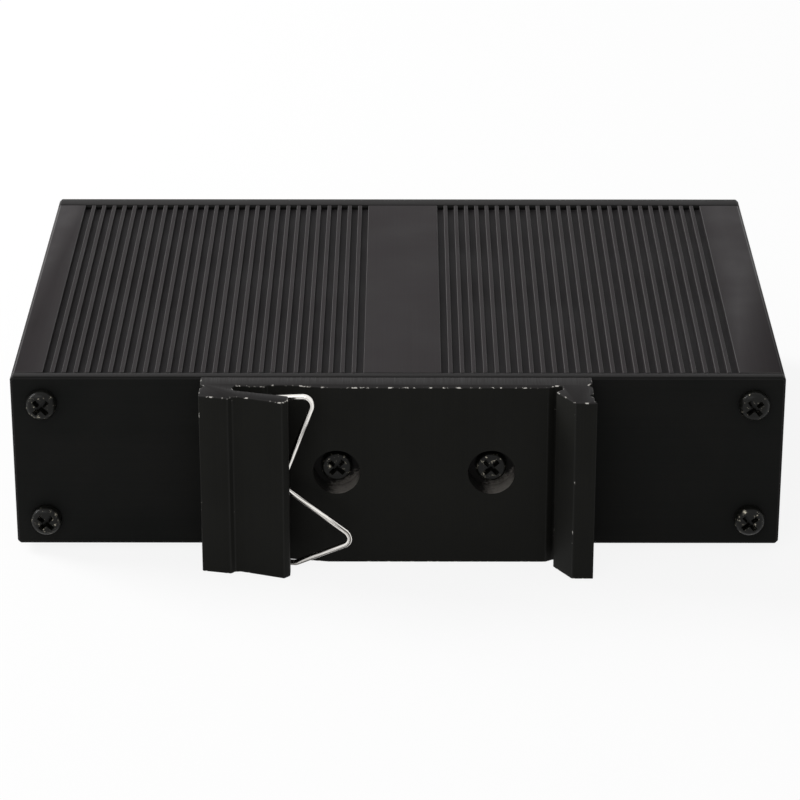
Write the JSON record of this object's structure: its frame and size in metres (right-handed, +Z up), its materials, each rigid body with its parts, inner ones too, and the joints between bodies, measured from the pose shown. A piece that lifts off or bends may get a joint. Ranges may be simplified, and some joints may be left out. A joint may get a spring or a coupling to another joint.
{
  "type": "din rail ethernet switch",
  "caption": "Slim black finned aluminium network switch with modular jacks on one end and an aluminium rail clip with a wire spring on the other.",
  "frame": {"origin": "centre of the object's bounding box in X and Y, at its lowest point, the rail clip's lower cut end", "axes": "+X to the right seen from the rail clip, +Y from the rail clip towards the network ports, +Z up out of the broad finned face; the switch lies on its other broad face"},
  "size_m": [0.1, 0.0774, 0.0248],
  "materials": {
    "anodised_case": "black anodised, matt",
    "anodised_panel": "black anodised, matt",
    "anodised_clip": "black anodised, saw-cut ends",
    "spring_wire": "bright drawn stainless wire",
    "black_screw": "black oxide, slightly glossy",
    "board_laminate": "green solder mask",
    "jack_moulding": "black moulded",
    "jack_shield": "tinned sheet",
    "contact_gold": "gold-flashed",
    "clear_light": "clear moulded",
    "lamp": "clear",
    "header_moulding": "green moulded",
    "tinned_pin": "tinned",
    "chip_moulding": "black moulded",
    "bare_aluminium": "bare",
    "ferrite": "grey ferrite",
    "crystal_can": "plated can"
  },
  "bodies": {
    "root": {"housing_extrusion": "anodised_case", "rear_panel": "anodised_panel", "front_panel": "anodised_panel", "rail_clip": "anodised_clip", "rail_spring": "spring_wire", "clip_screws": "black_screw", "rear_panel_screws": "black_screw", "front_panel_screws": "black_screw", "circuit_board": "board_laminate", "port_block": "jack_moulding", "port_shield": "jack_shield", "port_contacts_1": "contact_gold", "port_contacts_2": "contact_gold", "port_contacts_3": "contact_gold", "port_contacts_4": "contact_gold", "port_contacts_5": "contact_gold", "link_light_1": "clear_light", "link_light_2": "clear_light", "link_light_3": "clear_light", "link_light_4": "clear_light", "link_light_5": "clear_light", "activity_light_1": "clear_light", "activity_light_2": "clear_light", "activity_light_3": "clear_light", "activity_light_4": "clear_light", "activity_light_5": "clear_light", "power_light_guide": "clear_light", "power_light": "lamp", "power_header": "header_moulding", "power_pin_1": "tinned_pin", "power_pin_2": "tinned_pin", "power_pin_3": "tinned_pin", "switch_chip": "chip_moulding", "memory_chip": "chip_moulding", "regulator_chip": "chip_moulding", "surge_diode": "chip_moulding", "reverse_diode": "chip_moulding", "input_fuse": "chip_moulding", "transformer_1": "chip_moulding", "transformer_2": "chip_moulding", "transformer_3": "chip_moulding", "transformer_4": "chip_moulding", "transformer_5": "chip_moulding", "chip_heat_sink": "bare_aluminium", "bulk_capacitor_1": "bare_aluminium", "bulk_capacitor_2": "bare_aluminium", "power_inductor": "ferrite", "crystal": "crystal_can"}
  },
  "joints": []
}
